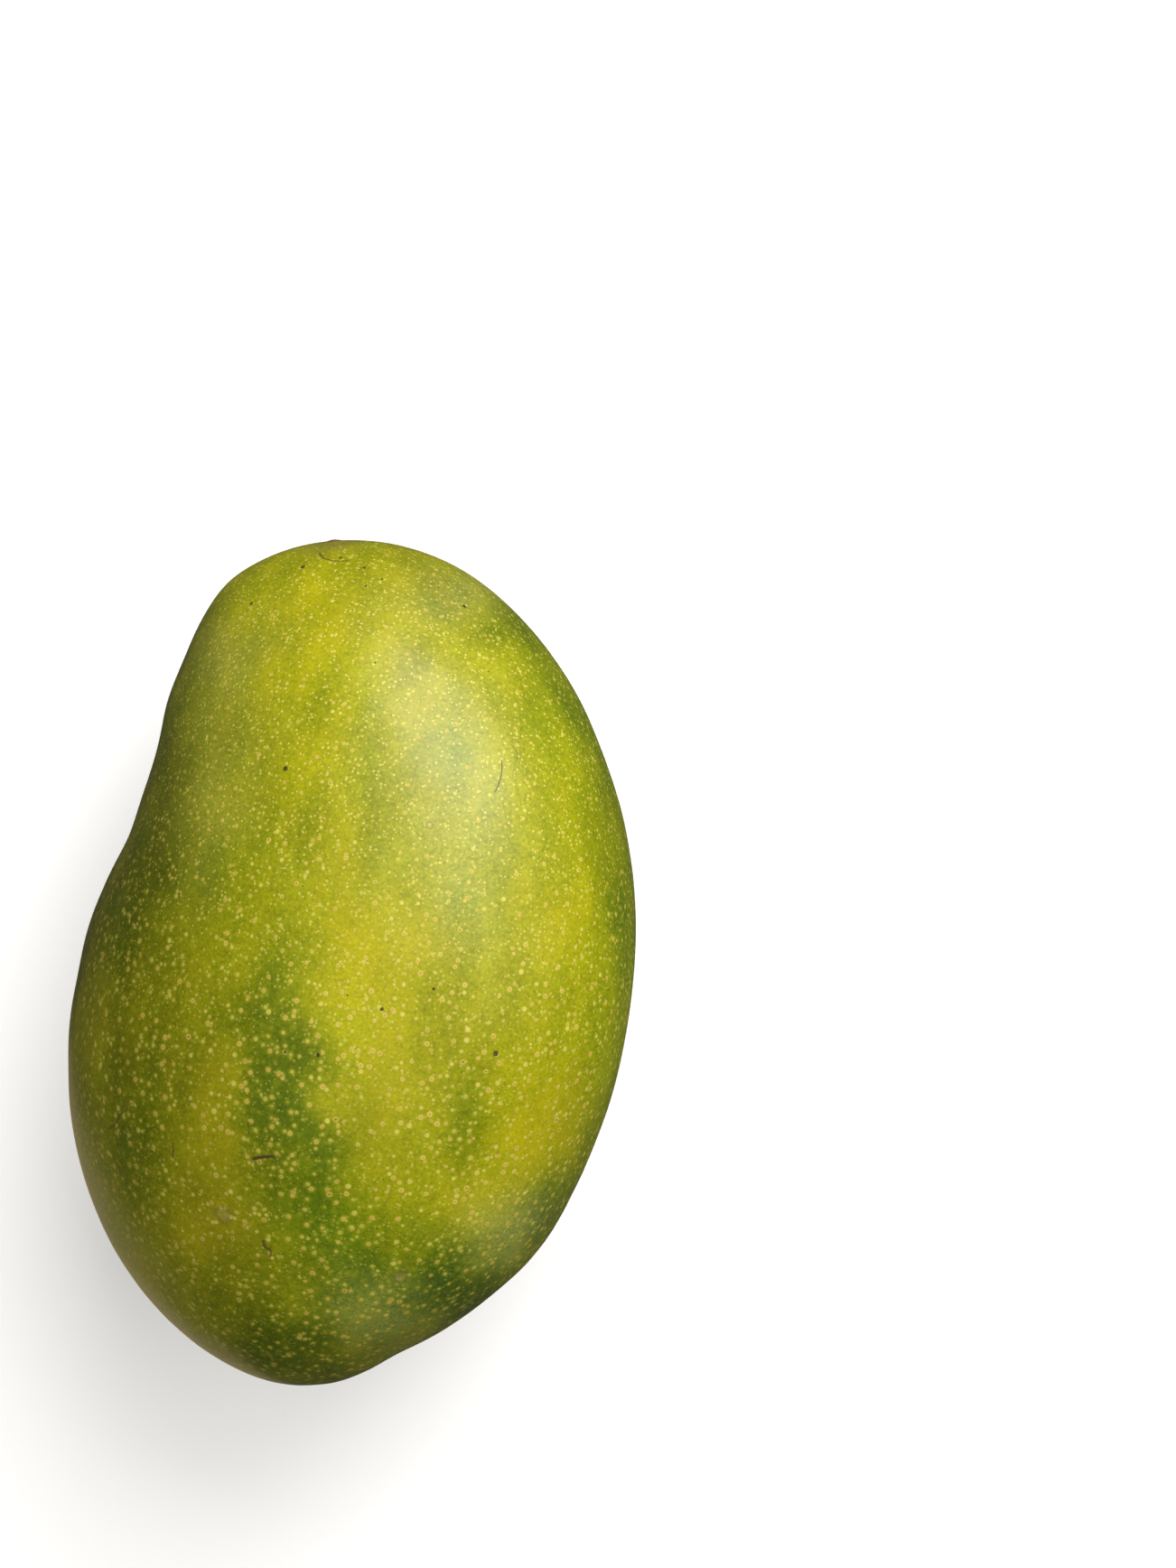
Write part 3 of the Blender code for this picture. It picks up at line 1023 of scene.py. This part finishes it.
def scratch_arc(surface, across_1, along_1, across_2, along_2, bow, half_width, darkness):
    """A scratch as an arc of a circle: centre, radius, middle, half length, half width, darkness.

    The circle goes through the two ends and through a middle point shifted sideways by the bow.
    """
    step = Vector((across_2 - across_1, along_2 - along_1))
    aside = Vector((-step.y, step.x)).normalized() * bow
    middle_across = (across_1 + across_2) / 2 + aside.x
    middle_along = (along_1 + along_2) / 2 + aside.y
    middle = Vector(on_cheek(surface, middle_across, middle_along))
    start = Vector(on_cheek(surface, across_1, along_1)) - middle
    end = Vector(on_cheek(surface, across_2, along_2)) - middle
    normal = start.cross(end)
    rise = start.length_squared * end - end.length_squared * start
    to_centre = rise.cross(normal) / (2 * normal.length_squared)
    half_length = (end - start).length / 2
    centre = tuple(middle + to_centre)
    return centre, to_centre.length, tuple(middle), half_length, half_width * MM, darkness


def add_mango():
    """The fruit in one closed piece; its ripeness, painted shade and light, and wax bloom and painted
    sheen are stored on its points.
    """
    places, share = skin_places()
    mesh = closed_mesh("mango_fruit", places, share)
    vertices = np.empty(len(mesh.vertices) * 3)
    mesh.vertices.foreach_get("co", vertices)
    vertices = vertices.reshape(-1, 3)
    for name, field in (("ripeness", ripeness), ("depth", depth), ("bloom", bloom)):
        values = field(vertices).astype(np.float32)
        mesh.attributes.new(name, "FLOAT", "POINT").data.foreach_set("value", values)
    mango = bpy.data.objects.new("mango_fruit", mesh)
    bpy.context.scene.collection.objects.link(mango)

    surface = BVHTree.FromPolygons(vertices, [face.vertices[:] for face in mesh.polygons])
    scar_across = DIMPLE_SIDESTEP + MIDLINE_SWAY[0]
    scar_up = fruit_middle[2] + MIDLINE_CLIMB[0] - DIMPLE_DROP
    past_stem_end = (scar_across, -WELL_OUTSIDE, scar_up)
    past_beak_end = (BEAK_SCAR_ACROSS, WELL_OUTSIDE, BEAK_SCAR_UP)
    scar_middle = point_on_skin(surface, past_stem_end, (0.0, 1.0, 0.0))
    beak_tip = point_on_skin(surface, past_beak_end, (0.0, -1.0, 0.0))
    speck_places, scuff_places = (
        [(on_cheek(surface, across, along), radius * MM) for across, along, radius in rows]
        for rows in (SPECKS, SCUFFS)
    )
    scratches = [scratch_arc(surface, *row) for row in SCRATCHES]
    mesh.materials.append(
        skin_material(scar_middle, beak_tip, speck_places, scratches, scuff_places)
    )
    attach(mango, "root")
    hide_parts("mango")


add_camera()
add_lights()
add_floor()
add_mango()
bpy.context.scene.view_settings.view_transform = "Standard"
